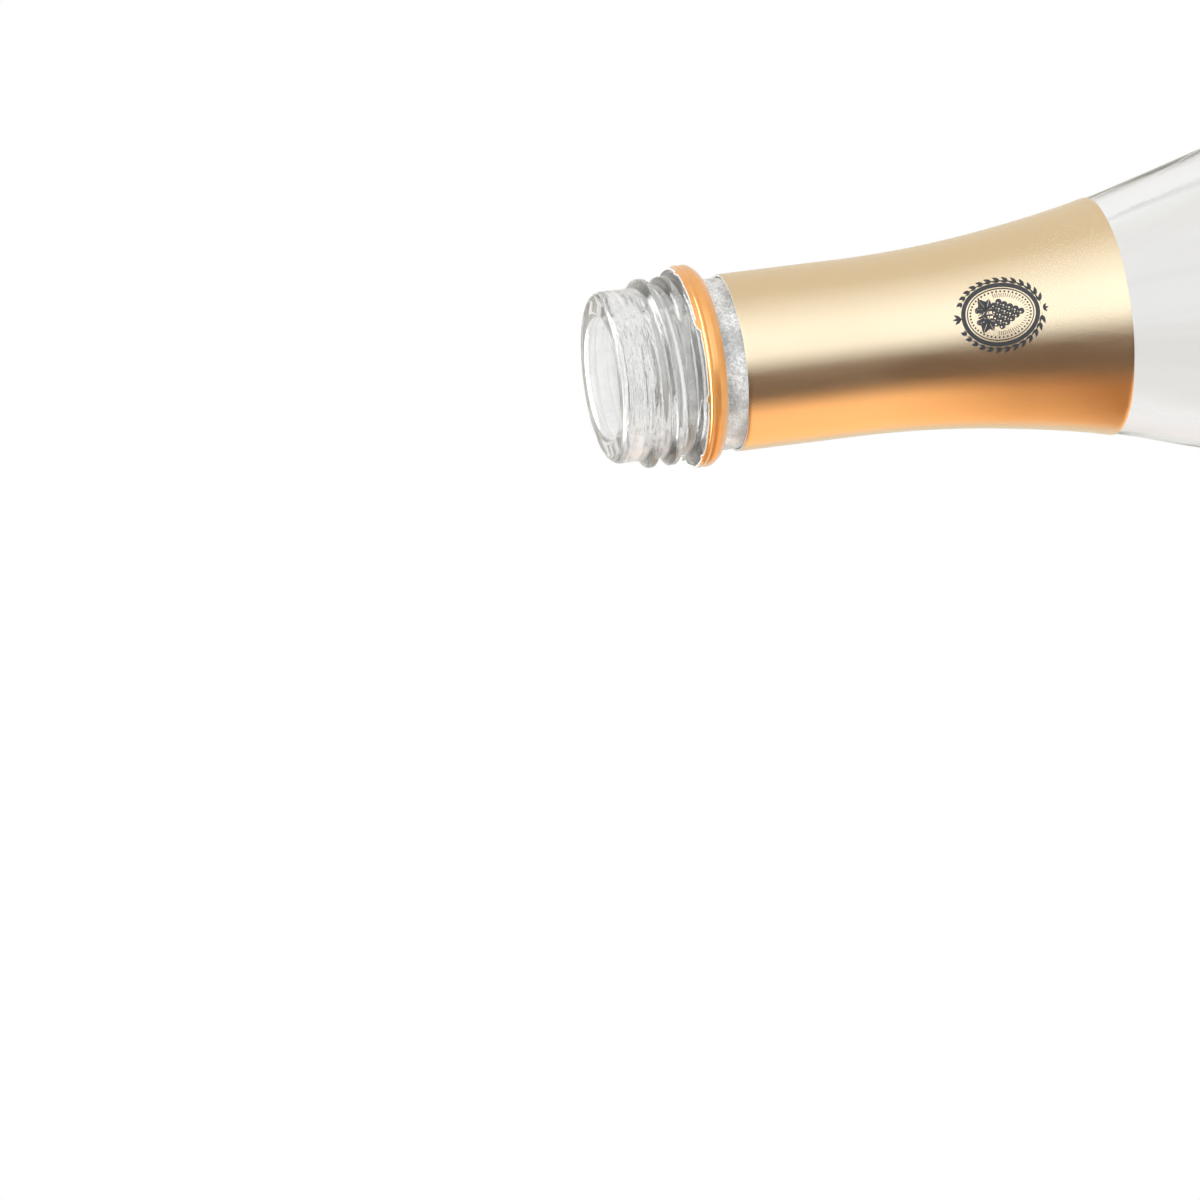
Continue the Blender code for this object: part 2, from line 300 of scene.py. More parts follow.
def outside_profile():
    """The outer face from the middle of the punt over the heel, body and neck up to the lip's edge."""
    rim = math.atan2(-DOME_CENTRE, PUNT_RADIUS)
    punt = arc((0.0, DOME_CENTRE), DOME_RADIUS, math.pi / 2 - 0.03, rim, 26)
    ring = soften([punt[-2], punt[-1], (PUNT_RADIUS + BEARING_WIDTH, 0.0)], 0.0009)
    heel = arc((BODY_RADIUS - HEEL_RADIUS, HEEL_RADIUS), HEEL_RADIUS, -math.pi / 2, 0.0, 14)
    body = wall(HEEL_RADIUS, BODY_TOP, 0.0028, 0.0)
    neck = wall(BODY_TOP, NECK_TOP - 0.0012, 0.0013, 0.0)
    bead = soften(
        [
            (NECK_RADIUS, NECK_TOP - 0.0012),
            (NECK_RADIUS, NECK_TOP),
            (BEAD_RADIUS, BEAD_BOTTOM),
            (BEAD_RADIUS, BEAD_TOP),
            (NECK_RADIUS, THREAD_BOTTOM),
            (NECK_RADIUS, THREAD_BOTTOM + 0.0012),
        ],
        BEAD_ROUNDING,
    )
    edge = (NECK_RADIUS - LIP_OUTER_EDGE, BOTTLE_HEIGHT - LIP_OUTER_EDGE)
    finish = divide([bead[-1], np.array((NECK_RADIUS, edge[1]))], 0.00011)
    lip = arc(edge, LIP_OUTER_EDGE, 0.0, math.pi / 2, 10)
    parts = (punt[:-2], ring, heel[1:], body[1:], neck[1:], divide(bead, 0.0003)[1:], finish[1:], lip[1:])
    return np.concatenate(parts)


def inside_profile():
    """The inner face from the middle of the base up the wall and the bore to the lip's inner edge."""
    dome = DOME_RADIUS + BASE_THICKNESS
    middle = BODY_RADIUS - GLASS_WALL - INNER_HEEL_RADIUS
    reach = dome + INNER_HEEL_RADIUS
    height = DOME_CENTRE + math.sqrt(reach**2 - middle**2)
    meeting = math.atan2(height - DOME_CENTRE, middle)
    floor = arc((0.0, DOME_CENTRE), dome, math.pi / 2 - 0.03, meeting, 22)
    heel = arc((middle, height), INNER_HEEL_RADIUS, meeting - math.pi, 0.0, 14)
    body = wall(height, BODY_TOP, 0.0028, GLASS_WALL)
    neck = wall(BODY_TOP, FOIL_TOP, 0.0013, GLASS_WALL)
    edge = (BORE_RADIUS + LIP_INNER_EDGE, BOTTLE_HEIGHT - LIP_INNER_EDGE)
    bore = wall(FOIL_TOP, edge[1], 0.0004, GLASS_WALL)
    lip = arc(edge, LIP_INNER_EDGE, math.pi, math.pi / 2, 8)
    return np.concatenate((floor, heel[1:], body[1:], neck[1:], bore[1:], lip[1:]))


def thread_height(theta, z):
    """How far the thread stands out of the neck at each angle and height."""
    best = np.zeros(np.broadcast(theta, z).shape)
    base = THREAD_BASE_WIDTH / 2
    crest = THREAD_CREST_WIDTH / 2
    start = (theta - THREAD_START) % math.tau
    for turn in range(math.ceil(THREAD_TURNS)):
        along = (start + math.tau * turn) / (math.tau * THREAD_TURNS)
        middle = THREAD_BOTTOM + (THREAD_TOP - THREAD_BOTTOM) * along
        fade = smooth(np.minimum(along, 1 - along) / THREAD_FADE_SHARE)
        ridge = smooth((base - np.abs(z - middle)) / (base - crest))
        best = np.maximum(best, THREAD_DEPTH * fade * ridge)
    return best


def outside_shift(theta, z):
    """Seams and the gentle waves of moulded glass on the outer face."""
    finish = smooth((z - NECK_TOP) / (2 * MM)) * smooth((BOTTLE_HEIGHT - 0.8 * MM - z) / MM)
    rings = ripple(theta, z, ((0.024, 0, 0.00137, 0.4), (0.018, -1, 0.00093, 2.0), (0.008, 1, 0.00061, 5.1)))
    waves = ripple(theta, z, ((0.020, 3, 0.031, 0.9), (0.016, -5, 0.023, 2.2), (0.010, 9, 0.013, 4.0)))
    body = smooth(z / (12 * MM)) * smooth((BOTTLE_HEIGHT - 2 * MM - z) / MM)
    shift = rings * finish * MM + (waves - 0.046) * body * MM
    for side in (SEAM_AZIMUTH, SEAM_AZIMUTH + math.pi):
        reach = off_azimuth(theta, side) * NECK_RADIUS
        near = np.exp(-((reach / SEAM_WIDTH) ** 2))
        shift = shift + SEAM_HEIGHT * near * smooth((z - 3 * MM) / (4 * MM)) * smooth((BEAD_TOP - z) / MM)
    return shift


def inside_shift(theta, z):
    """The uneven inner face that blowing leaves."""
    waves = ripple(
        theta,
        z,
        ((0.036, 2, 0.061, 0.3), (0.026, -3, 0.043, 1.1), (0.010, 5, 0.027, 2.7), (0.004, -8, 0.017, 3.9)),
    )
    bore = ripple(theta, z, ((0.020, 1, 0.0043, 0.7), (0.014, -2, 0.0023, 2.9), (0.010, 3, 0.0051, 1.3)))
    finish = smooth((z - FOIL_TOP) / (6 * MM))
    ends = smooth((z - 20 * MM) / (10 * MM)) * smooth((BOTTLE_HEIGHT - 0.8 * MM - z) / (1.5 * MM))
    return (waves * (1 - finish * 0.4) + bore * finish) * ends * MM


def knurl(theta, r, z):
    """Lifts a fine knurl out of the bearing ring, so that the bottle stands on its low points."""
    ring = smooth((r - PUNT_RADIUS) / MM) * smooth((BODY_RADIUS - HEEL_RADIUS * 0.8 - r) / MM)
    bars = 0.5 + 0.5 * np.sin(COLUMNS / 4 * theta + r / (0.5 * MM))
    return 0.14 * MM * ring * bars * (z < 0.4 * MM)


def build_glass(finish):
    """The whole moulding, with thread, bead, seams, knurled base and an uneven inner face."""
    theta = angles()
    outside = outside_profile()
    r, z = outside[:, :1], outside[:, 1:]
    threaded = np.maximum(r, NECK_RADIUS + thread_height(theta, z)) * (z > BEAD_TOP)
    radius = np.where(z < BOTTLE_HEIGHT - LIP_OUTER_EDGE, np.maximum(r, threaded), r)
    outer = placed(radius + outside_shift(theta, z), theta, z + knurl(theta, r, z))
    inside = inside_profile()[::-1]
    r, z = inside[:, :1], inside[:, 1:]
    inner = placed(r + inside_shift(theta, z), theta, z)
    verts, faces = skin(np.concatenate((outer, inner)), closed=False)
    glass = add_piece("glass_bottle", verts, faces, [finish], sharp=75)
    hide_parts("bottle_glass")
    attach(glass, "bottle")
    return glass


# Wine


def wetted(profile):
    """A profile moved outwards into the glass by the overlap."""
    along = np.gradient(profile, axis=0)
    outward = np.stack((along[:, 1], -along[:, 0]), 1)
    outward /= np.linalg.norm(outward, axis=1)[:, None]
    return profile + outward * WINE_OVERLAP


def bubble_places(rng):
    """Middle and radius of each bubble: rising strings, bubbles on the wall and a ring at the surface."""

    def room(z):
        return wall_radius(z, GLASS_WALL) - 0.4 * MM

    found = []
    for _ in range(26):
        azimuth = rng.uniform(0, math.tau)
        start = rng.uniform(0.2, 0.93) * (BODY_RADIUS - GLASS_WALL)
        z = 0.036
        step = 0.0012
        while z < FILL_HEIGHT - 0.004:
            rise = (z - 0.036) / (FILL_HEIGHT - 0.036)
            size = (0.14 + 0.30 * rise) * MM
            r = min(start, room(z) - size) + rng.uniform(-0.3, 0.3) * MM
            turn = azimuth + 0.05 * math.sin(z * 60 + start * 900)
            if rng.random() < 0.8:
                found.append((aim(turn) * r + Vector((0, 0, z)), size))
            step *= 1.045
            z += step * rng.uniform(0.75, 1.25)
    for _ in range(260):
        z = 0.030 + (FILL_HEIGHT - 0.034) * rng.random() ** 0.55
        size = rng.uniform(0.14, 0.42) * MM
        found.append((aim(rng.uniform(0, math.tau)) * (room(z) - size) + Vector((0, 0, z)), size))
    for _ in range(110):
        size = rng.uniform(0.2, 0.7) * MM
        z = FILL_HEIGHT - size - rng.uniform(0.1, 0.8) * MM
        found.append((aim(rng.uniform(0, math.tau)) * (room(z) - size) + Vector((0, 0, z)), size))
    apart = []
    for middle, size in found:
        if all((middle - m).length > size + s + 0.05 * MM for m, s in apart[-400:]):
            apart.append((middle, size))
    return apart


def bubble(middle, size, first):
    """A small hollow whose faces look inwards, out of the wine."""
    around, up = 10, 6
    verts = [middle - Vector((0, 0, size))]
    for i in range(1, up):
        tilt = math.pi * i / up - math.pi / 2
        for j in range(around):
            turn = math.tau * j / around
            flat = size * math.cos(tilt)
            out = Vector((flat * math.cos(turn), flat * math.sin(turn), size * math.sin(tilt)))
            verts.append(middle + out)
    verts.append(middle + Vector((0, 0, size)))
    faces = []
    for j in range(around):
        n = (j + 1) % around
        faces.append((first, first + 1 + j, first + 1 + n))
        for i in range(up - 2):
            low = first + 1 + i * around
            faces.append((low + j, low + around + j, low + around + n, low + n))
        top = first + 1 + (up - 2) * around
        faces.append((top + j, first + len(verts) - 1, top + n))
    return verts, [tuple(f) for f in faces]


def build_wine(finish):
    """The wine up to its level, with a curved edge at the wall and bubbles as hollows in it."""
    theta = angles()
    profile = inside_profile()
    profile = profile[profile[:, 1] < FILL_HEIGHT]
    lifted = wetted(profile)
    side = placed(
        lifted[:, :1] + inside_shift(theta, profile[:, 1:]), theta, np.maximum(lifted[:, 1:], 0.0)
    )
    rim = wall_radius(FILL_HEIGHT, GLASS_WALL)
    depths = np.array((0.0, 0.25, 0.6, 1.1, 1.8, 3.0, 5.0)) * MM
    surface = np.array([(rim + WINE_OVERLAP - d, FILL_HEIGHT + 1.3 * MM * math.exp(-d / MM)) for d in depths])
    top = placed(
        surface[:, :1] + inside_shift(theta, FILL_HEIGHT + 0 * surface[:, 1:]), theta, surface[:, 1:]
    )
    verts, faces = skin(np.concatenate((side, top)), closed=False)
    for middle, size in bubble_places(random.Random(7)):
        more, hollow = bubble(middle, size, len(verts))
        verts += [tuple(v) for v in more]
        faces += hollow
    wine = add_piece("sparkling_wine", verts, faces, [finish], sharp=75)
    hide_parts("wine")
    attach(wine, "bottle")
    return wine


# Printed and raised shapes


class Relief:
    """Low closed shapes drawn across and up on a curved surface, gathered in one list."""

    def __init__(self, place):
        self.place = place  # gives the point for (across, up, lift)
        self.verts = []
        self.faces = []

    def strip(self, left, right, low, high, loop=False):
        """Fills between two lines of as many points."""
        first = len(self.verts)
        count = len(left)
        for a, b in zip(left, right):
            corners = ((a, high), (b, high), (b, low), (a, low))
            self.verts += [self.place(*point, lift) for point, lift in corners]
        for i in range(count if loop else count - 1):
            here = first + 4 * i
            there = first + 4 * ((i + 1) % count)
            for k in range(4):
                n = (k + 1) % 4
                self.faces.append((here + k, here + n, there + n, there + k))
        if not loop:
            last = first + 4 * (count - 1)
            self.faces.append((first, first + 3, first + 2, first + 1))
            self.faces.append((last, last + 1, last + 2, last + 3))


class Pen:
    """Draws in a flat space of its own, scaled and moved onto a relief."""

    stride = 0.0006  # longest straight piece of a stroke, so that it follows the surface

    def __init__(self, relief, centre, scale, low, high):
        self.relief = relief
        self.centre = np.array(centre, float)
        self.scale = scale
        self.low = low
        self.high = high

    def fill(self, left, right, loop=False):
        left = self.centre + np.asarray(left, float) * self.scale
        right = self.centre + np.asarray(right, float) * self.scale
        self.relief.strip(left, right, self.low, self.high, loop)

    def line(self, points, width, loop=False, taper=False):
        """A stroke along points, thinner at both ends if it tapers."""
        points = [np.array(p, float) for p in points]
        step = self.stride / self.scale
        points = divide(points + points[:1], step)[:-1] if loop else divide(points, step)
        if loop:
            along = np.roll(points, -1, 0) - np.roll(points, 1, 0)
        else:
            along = np.gradient(points, axis=0)
        side = np.stack((-along[:, 1], along[:, 0]), 1)
        side /= np.linalg.norm(side, axis=1)[:, None]
        half = np.full(len(points), width / 2)
        if taper:
            half = half * (0.25 + 0.75 * np.sin(np.linspace(0, math.pi, len(points))))
        self.fill(points + side * half[:, None], points - side * half[:, None], loop)

    def dot(self, centre, radius, hole=0.0, hole_shift=(0.0, 0.0), steps=12):
        """A disc, or a ring round a hole that may sit off its middle."""
        turn = np.linspace(0, math.tau, steps, endpoint=False)
        ring = np.stack((np.cos(turn), np.sin(turn)), 1)
        centre = np.array(centre, float)
        inner = centre + np.array(hole_shift) + ring * max(hole, radius * 0.02)
        self.fill(centre + ring * radius, inner, loop=True)

    def blade(self, base, angle, length, width, vein=0.0, teeth=0.0):
        """A pointed leaf from its base. A vein splits it into two halves, and teeth notch its edge."""
        t = np.linspace(0.0, 1.0, 15)
        ahead = np.array((math.cos(angle), math.sin(angle)))
        aside = np.array((-ahead[1], ahead[0]))
        swell = width / 2 * np.sin(math.pi * t**0.8) * (1 + teeth * np.sin(8 * math.pi * t))
        spine = np.array(base, float) + ahead * (length * t)[:, None]
        narrow = np.minimum(vein / 2, swell)
        if vein:
            for side in (1, -1):
                outer = spine + aside * (side * np.maximum(swell, narrow + 1e-4))[:, None]
                inner = spine + aside * (side * narrow)[:, None]
                self.fill(outer, inner)
        else:
            edge = np.maximum(swell, 1e-3)[:, None]
            self.fill(spine + aside * edge, spine - aside * edge)


def oval(wide, tall, steps=72, start=0.0, end=math.tau, loop=True):
    turn = np.linspace(start, end, steps, endpoint=not loop)
    return np.stack((wide * np.cos(turn), tall * np.sin(turn)), 1)


def vine_leaf(pen, base, angle, size):
    """Five toothed lobes with veins left open, and a short stalk."""
    for turn, share in ((0, 1.0), (52, 0.86), (-52, 0.86), (106, 0.6), (-106, 0.6)):
        lobe = angle + math.radians(turn)
        pen.blade(base, lobe, size * share, size * share * 0.66, vein=0.07, teeth=0.10)
    back = np.array((math.cos(angle), math.sin(angle))) * -size * 0.35
    pen.line([np.array(base) + back * t for t in (0.0, 0.5, 1.0)], 0.11)


def emblem(pen):
    """A grape bunch under two vine leaves in a beaded oval, between two laurel sprays. Drawn in mm."""
    pen.line(oval(4.45, 5.45), 0.62, loop=True)
    pen.line(oval(3.85, 4.85), 0.14, loop=True)
    for x, y in oval(3.42, 4.42, 46):
        pen.dot((x, y), 0.14)
    for row, count in enumerate((4, 5, 4, 3, 2, 1)):
        for i in range(count):
            x = (i - (count - 1) / 2) * 0.90
            y = 0.75 - row * 0.76
            pen.dot((x, y), 0.46, hole=0.13, hole_shift=(-0.13, 0.14), steps=14)
    pen.line([(0.0, 1.1), (0.05, 1.8), (0.0, 2.5), (-0.25, 3.3)], 0.26)
    vine_leaf(pen, (-0.75, 1.95), math.radians(152), 2.0)
    vine_leaf(pen, (0.85, 1.95), math.radians(28), 2.0)
    for side in (1, -1):
        turn = np.linspace(0, 4.2 * math.pi, 46)
        curl = 0.60 * np.exp(-turn / 7.5)
        middle = np.array((side * 0.78, 3.25))
        spiral = middle + np.stack((-side * curl * np.cos(turn), -curl * np.sin(turn)), 1)
        pen.line(spiral, 0.12)
    for ray in np.linspace(0, math.tau, 60, endpoint=False):
        way = np.array((math.cos(ray), math.sin(ray)))
        if way[1] > 0.30:
            continue
        far = 1 / math.hypot(way[0] / 3.12, way[1] / 4.12)
        near = 1 / math.hypot(way[0] / 2.55, way[1] / 3.75)
        pen.line([way * near, way * (near + far) / 2, way * far], 0.07)
    for side in (1, -1):
        start = math.radians(-84)
        end = math.radians(62)
        for t in np.linspace(0.04, 1.0, 13):
            turn = start + (end - start) * t
            x, y = side * 5.12 * math.cos(turn), 6.05 * math.sin(turn)
            tangent = math.atan2(6.05 * math.cos(turn), -side * 5.12 * math.sin(turn))
            size = 1.35 * (1.0 - 0.30 * t)
            pen.blade((x, y), tangent - side * 0.50, size, 0.50)
            pen.blade((x, y), tangent + side * 0.22, size * 0.85, 0.34)
        stem = oval(side * 5.12, 6.05, 40, start, end, loop=False)
        pen.line(stem, 0.13, taper=True)
    for turn in (-38, 0, 38):
        pen.blade((0.0, 5.85), math.radians(90 + turn), 1.2, 0.42)
    pen.dot((0.0, 5.98), 0.2)
    for turn in (-50, 0, 50):
        pen.blade((0.0, -6.25), math.radians(-90 + turn), 0.8, 0.34)


# Neck foil


def foil_offset(z):
    """How far the foil's outer face stands off the glass."""
    low = smooth((FOIL_BOTTOM + 16 * MM - z) / (16 * MM))
    return (0.47 - 0.20 * low) * MM


def build_foil(gold, lining, ink):
    """The printed sleeve: satin outside, pale inside, cut a little askew at the top, with an emblem."""
    theta = angles()
    share = np.concatenate((np.linspace(0, 0.01, 3), np.linspace(0.02, 0.98, 130), np.linspace(0.99, 1, 3)))
    camera_side = off_azimuth(theta, -FRONT_TURN)
    top = FOIL_TOP + 0.42 * MM - 0.85 * MM * (1 - np.cos(camera_side)) / 2
    top = top + ripple(theta, 0.0, ((0.05, 5, 1.0, 0.2), (0.03, 11, 1.0, 1.7))) * MM
    bottom = FOIL_BOTTOM + ripple(theta, 0.0, ((0.05, 2, 1.0, 0.5), (0.02, 9, 1.0, 2.7))) * MM
    z = bottom + (top - bottom) * share[:, None]
    radius = np.vectorize(lambda h: wall_radius(h, 0.0))(z)
    from_lap = np.abs(off_azimuth(theta, math.pi + LAP_HALF))
    lap = smooth((LAP_HALF - from_lap) / LAP_STEP)
    dents = ripple(theta, z, ((0.010, 2, 0.061, 0.3), (0.006, -3, 0.047, 2.1), (0.003, 5, 0.053, 0.9)))
    outer = radius + foil_offset(z) - (0.03 - 0.03 * lap) * MM + (dents - 0.019) * MM
    edge = np.minimum(share, 1 - share)[:, None]
    outer = outer - 0.06 * MM * (1 - smooth(edge / 0.006))
    inner = radius + 0.10 * MM
    grid = np.concatenate((placed(outer, theta, z), placed(inner, theta, z)[::-1]))
    verts, faces = skin(grid, closed=True)
    rows = len(share)
    indices = [0 if f[0] // COLUMNS < rows - 1 else 1 for f in faces]

    def place(across, up, lift):
        r = wall_radius(up, 0.0) + float(foil_offset(up))
        turn = across / r
        return aim(turn) * (r + lift) + Vector((0, 0, up))

    relief = Relief(place)
    emblem(Pen(relief, (0.0, EMBLEM_HEIGHT), MM, -0.09 * MM, 0.03 * MM))
    first = len(verts)
    verts += [tuple(v) for v in relief.verts]
    faces += [tuple(first + i for i in f) for f in relief.faces]
    indices += [2] * len(relief.faces)
    foil = add_piece("neck_foil_sleeve", verts, faces, [gold, lining, ink], indices)
    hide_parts("neck_foil")
    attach(foil, "bottle")
    return foil


# Tamper band


def band_edge(theta):
    """Height of the torn upper edge above the band's rolled edge."""
    jags = np.abs(ripple(theta, 0.0, ((0.05, 23, 1.0, 0.4), (0.04, 41, 1.0, 1.9), (0.03, 67, 1.0, 3.3))))
    edge = jags * MM
    start = off_azimuth(theta, math.radians(11))
    edge = edge + 0.38 * MM * smooth(start / 0.03) * smooth((math.radians(100) - start) / 0.06)
    for i in range(BRIDGE_COUNT):
        near = np.abs(off_azimuth(theta, math.tau * (i + 0.35) / BRIDGE_COUNT)) * BEAD_RADIUS
        edge = edge + 0.30 * MM * smooth((0.55 * MM - near) / (0.25 * MM))
    return np.minimum(edge, 0.68 * MM)


def build_band(lacquer, bare):
    """The ring that the cap tore off: rolled edge, torn bridges, a bent tag and a tucked-in skirt."""
    theta = np.linspace(0, math.tau, 3 * COLUMNS, endpoint=False)[None, :]
    inner = BEAD_RADIUS + BAND_SHIFT + 0.05 * MM
    drop = BAND_HEIGHT
    line = soften(
        [
            (inner + 0.02 * MM, 0.0),
            (inner + 0.06 * MM, -0.08 * drop),
            (inner + 0.26 * MM, -0.14 * drop),
            (inner + 0.24 * MM, -0.22 * drop),
            (inner + 0.02 * MM, -0.27 * drop),
            (inner + 0.20 * MM, -0.36 * drop),
            (inner + 0.24 * MM, -0.54 * drop),
            (inner + 0.02 * MM, -0.68 * drop),
            (inner - 0.50 * MM, -0.86 * drop),
        ],
        0.25 * MM,
        5,
    )
    line = divide(line, 0.12 * MM)
    r, z = line[:, :1], line[:, 1:]
    rise = band_edge(theta) * smooth(1 + z / (0.35 * MM))
    tag = smooth((math.radians(10) - np.abs(off_azimuth(theta, math.radians(-88)))) / math.radians(3))
    rise = rise + 0.25 * MM * tag * smooth(1 + z / (0.35 * MM))
    dents = ripple(theta, z, ((0.035, 3, 0.019, 0.2), (0.025, 7, 0.011, 1.4), (0.015, -12, 0.007, 3.0))) * MM
    dents = np.abs(dents) * 0.6
    flare = 0.22 * MM * tag * smooth(1 + z / (0.5 * MM))
    heights = BAND_TOP - 0.1 * MM + z + rise
    inside = placed(r + dents + flare, theta, heights)
    outside = placed(r + dents + flare + BAND_WALL, theta, heights)
    grid = np.concatenate((outside[::-1], inside))
    grid[:, :, 0] += BAND_SHIFT
    verts, faces = skin(grid, closed=True)
    indices = [0 if f[0] // theta.size < len(line) - 2 else 1 for f in faces]
    band = add_piece("tamper_ring", verts, faces, [lacquer, bare], indices, sharp=50)
    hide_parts("tamper_band")
    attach(band, "tamper_band")
    return band


# Labels


def label_place(facing):
    """Gives the point on the body for (across, up, lift above the paper)."""

    def place(across, up, lift):
        turn = facing + across / LABEL_OUTER
        return aim(turn) * (LABEL_OUTER + lift) + Vector((0, 0, up))

    return place


def paper_sheet(width, facing):
    """Vertices and faces of a bent sheet with round corners."""
    half = width / 2
    bends = [LABEL_CORNER * (1 - math.cos(a)) for a in np.linspace(0, math.pi / 2, 7)]
    places = [-half + b for b in bends]
    places += list(np.linspace(-half + LABEL_CORNER, half - LABEL_CORNER, 60))[1:-1]
    places += [half - b for b in reversed(bends)]
    rows = 24
    verts = []
    for place in places:
        into = max(0.0, abs(place) - (half - LABEL_CORNER))
        rounding = LABEL_CORNER - math.sqrt(max(0.0, LABEL_CORNER**2 - into**2))
        way = aim(facing + place / BODY_RADIUS)
        for radius in (LABEL_OUTER, LABEL_INNER):
            for i in range(rows + 1):
                z = LABEL_BOTTOM + rounding + (LABEL_TOP - LABEL_BOTTOM - 2 * rounding) * i / rows
                verts.append(way * radius + Vector((0, 0, z)))
    side = rows + 1
    column = 2 * side
    faces = []
    for c in range(len(places) - 1):
        here = c * column
        there = here + column
        for i in range(rows):
            faces.append((here + i, there + i, there + i + 1, here + i + 1))
            faces.append((here + side + i, here + side + i + 1, there + side + i + 1, there + side + i))
        faces.append((here, here + side, there + side, there))
        faces.append((here + rows, there + rows, there + side + rows, here + side + rows))
    last = (len(places) - 1) * column
    for i in range(rows):
        faces.append((i, i + 1, side + i + 1, side + i))
        faces.append((last + i, last + side + i, last + side + i + 1, last + i + 1))
    return [tuple(v) for v in verts], faces


def frame_line(pen, middle, wide, tall, corner, width):
    """A rectangular line with round corners."""
    points = []
    for k, (sx, sy) in enumerate(((1, 1), (-1, 1), (-1, -1), (1, -1))):
        bend = (middle[0] + sx * (wide / 2 - corner), middle[1] + sy * (tall / 2 - corner))
        points += list(arc(bend, corner, k * math.pi / 2, (k + 1) * math.pi / 2, 7))
    pen.line(points, width, loop=True)


def vine_scroll(pen, half, height):
    """A winding stem with a leaf outside each bend and a berry inside it."""
    x = np.linspace(-half, half, 130)
    wave = 1.5 * np.sin(x * math.tau / 12)
    pen.line(np.stack((x, wave + height), 1), 0.28, taper=True)
    reach = int((half - 3) // 6)
    for k in range(-reach, reach):
        bend = 3.0 * (2 * k + 1)
        up = 1 if k % 2 == 0 else -1
        pen.blade((bend, height + up * 1.5), math.radians(62 * up), 2.9, 1.3, vein=0.16)
        pen.line([(bend, height + up * 1.4), (bend, height + up * 0.4)], 0.16)
        pen.dot((bend, height), 0.42)


def build_label(name, node, width, facing, paper, inks, draw):
    """A paper label with its print, bent round the body."""
    verts, faces = paper_sheet(width, facing)
    indices = [0] * len(faces)
    middle = (0.0, (LABEL_BOTTOM + LABEL_TOP) / 2)
    reliefs = [Relief(label_place(facing)) for _ in inks]
    draw([Pen(relief, middle, MM, -0.03 * MM, 0.018 * MM) for relief in reliefs])
    for k, relief in enumerate(reliefs):
        first = len(verts)
        verts += [tuple(v) for v in relief.verts]
        faces += [tuple(first + i for i in f) for f in relief.faces]
        indices += [k + 1] * len(relief.faces)
    label = add_piece(name, verts, faces, [paper, *inks], indices)
    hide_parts(node)
    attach(label, "bottle")
    return label


def draw_front(pens):
    gold, dark = pens
    frame_line(gold, (0, 0), 82.0, 71.3, 3.0, 0.7)
    frame_line(dark, (0, 0), 79.2, 68.5, 2.2, 0.22)
    big = Pen(dark.relief, dark.centre + np.array((0.0, 7.5 * MM)), 3.0 * MM, dark.low, dark.high)
    emblem(big)
    vine_scroll(gold, 33.0, -24.5)
    for side in (1, -1):
        gold.line([(side * 21.0, 7.5), (side * 37.0, 7.5)], 0.3)
        dark.dot((side * 19.4, 7.5), 0.5)
        dark.dot((side * 38.0, 7.5), 0.35)


def draw_back(pens):
    gold, dark = pens
    frame_line(gold, (0, 0), 56.0, 71.3, 3.0, 0.6)
    vine_scroll(gold, 21.0, 29.0)
    frame_line(dark, (0, 0), 48.0, 27.0, 1.5, 0.22)
    frame_line(dark, (0, -24.0), 48.0, 9.5, 1.0, 0.22)
    for x in (-12.0, 12.0):
        dark.line([(x, -19.5), (x, -28.5)], 0.22)


# Materials


def add_node(tree, kind, links=None, **settings):
    """Adds a node and sets its inputs, each to a value or to another node's output."""
    made = tree.nodes.new(kind)
    for key, value in settings.items():
        setattr(made, key, value)
    for socket, value in (links or {}).items():
        if isinstance(value, bpy.types.NodeSocket):
            tree.links.new(value, made.inputs[socket])
        else:
            made.inputs[socket].default_value = value
    return made


class Shader:
    """A material's node tree with short calls for adding and joining nodes."""

    def __init__(self, name, **settings):
        self.material = bpy.data.materials.new(name)
        self.material.use_nodes = True
        self.tree = self.material.node_tree
        self.surface = self.tree.nodes["Principled BSDF"]
        self.output = self.tree.nodes["Material Output"]
        for key, value in settings.items():
            self.surface.inputs[key.replace("_", " ").title().replace("Ior", "IOR")].default_value = value
        self.place = self.tree.nodes.new("ShaderNodeTexCoord").outputs["Object"]

    def node(self, kind, links=None, **settings):
        return add_node(self.tree, kind, links, **settings)

    def maths(self, operation, first, second):
        return self.node("ShaderNodeMath", {0: first, 1: second}, operation=operation).outputs[0]

    def noise(self, scale, detail=2.0, stretch=(1, 1, 1), rough=0.5):
        at = self.place
        if stretch != (1, 1, 1):
            at = self.node("ShaderNodeMapping", {"Vector": at, "Scale": stretch}).outputs[0]
        links = {"Vector": at, "Scale": scale, "Detail": detail, "Roughness": rough}
        return self.node("ShaderNodeTexNoise", links).outputs["Fac"]

    def spread(self, value, low, high, start=0.3, end=0.7):
        """Maps a noise value onto a range."""
        links = {"Value": value, "From Min": start, "From Max": end, "To Min": low, "To Max": high}
        return self.node("ShaderNodeMapRange", links).outputs[0]

    def tint(self, value, low, high, start=0.3, end=0.7):
        """Blends between two colours by a noise value."""
        ramp = self.node("ShaderNodeValToRGB", {"Fac": value})
        ramp.color_ramp.elements[0].position = start
        ramp.color_ramp.elements[0].color = (*low, 1.0)
        ramp.color_ramp.elements[1].position = end
        ramp.color_ramp.elements[1].color = (*high, 1.0)
        return ramp.outputs["Color"]

    def bump(self, height, depth, strength=1.0, under=None):
        links = {"Height": height, "Distance": depth, "Strength": strength}
        if under:
            links["Normal"] = under
        return self.node("ShaderNodeBump", links).outputs[0]

    def join(self, value, socket):
        self.tree.links.new(value, self.surface.inputs[socket])


